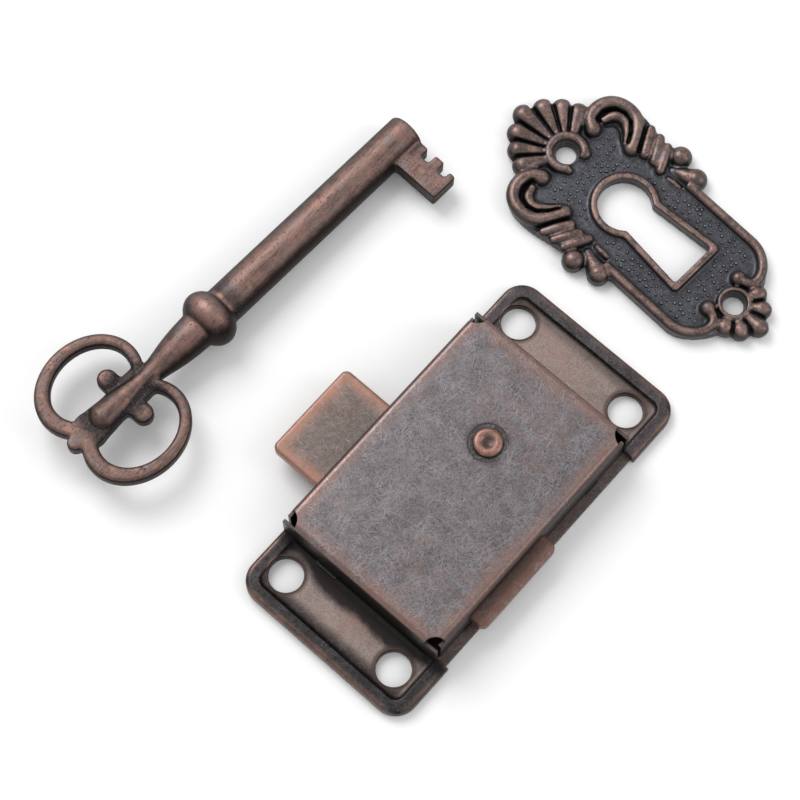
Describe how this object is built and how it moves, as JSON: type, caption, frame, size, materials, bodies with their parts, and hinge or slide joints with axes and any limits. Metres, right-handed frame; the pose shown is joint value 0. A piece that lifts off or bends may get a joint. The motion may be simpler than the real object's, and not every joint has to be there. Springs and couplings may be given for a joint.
{
  "type": "drawer lock",
  "caption": "Surface-mounted drawer lock with a sliding bolt, shown with its pipe key and its cast ornamental keyhole plate.",
  "frame": {"origin": "centre of the lock's four screw holes, on its mounting face (the lowest face of the base plate)", "axes": "+Z out of the mounting face towards the top of the case; +Y along the lock's long side, from the bolt's end towards the key post; +X across the lock, away from the side where the bolt stands out. The key and the keyhole plate lie beside the lock on the plane z = 0"},
  "size_m": [0.0842, 0.1088, 0.0102],
  "materials": {
    "case_sheet": "pressed steel, antique copper plating worn to a grey-mauve patina",
    "base_sheet": "flat steel sheet, dark plating",
    "bolt": "steel bar, copper plating, bright at its edges",
    "post": "turned steel rivet, antique copper plating",
    "stud": "turned steel, dull",
    "wards": "pressed steel, dull",
    "spring": "flat spring steel strip",
    "key_casting": "zinc alloy casting, antique copper plating",
    "plate_casting": "zinc alloy casting, antique copper plating with a blackened ground"
  },
  "bodies": {
    "lock": {"case": "case_sheet", "base_plate": "base_sheet", "key_post": "post", "ward_plate": "wards", "guide_stud": "stud", "spring_stud": "stud", "detent_spring": "spring"},
    "bolt": {"bolt": "bolt"},
    "key": {"key": "key_casting"},
    "escutcheon": {"escutcheon": "plate_casting"}
  },
  "joints": [
    {"name": "bolt_throw", "type": "slide", "parent": "lock", "child": "bolt", "axis": [1, 0, 0], "range_m": [0, 0.0074], "deforming": ["detent_spring"]},
    {"name": "key_lift", "type": "slide", "parent": "lock", "child": "key", "axis": [0, 0, 1], "range_m": [0, 0.1]},
    {"name": "plate_lift", "type": "slide", "parent": "lock", "child": "escutcheon", "axis": [0, 0, 1], "range_m": [0, 0.1]}
  ]
}
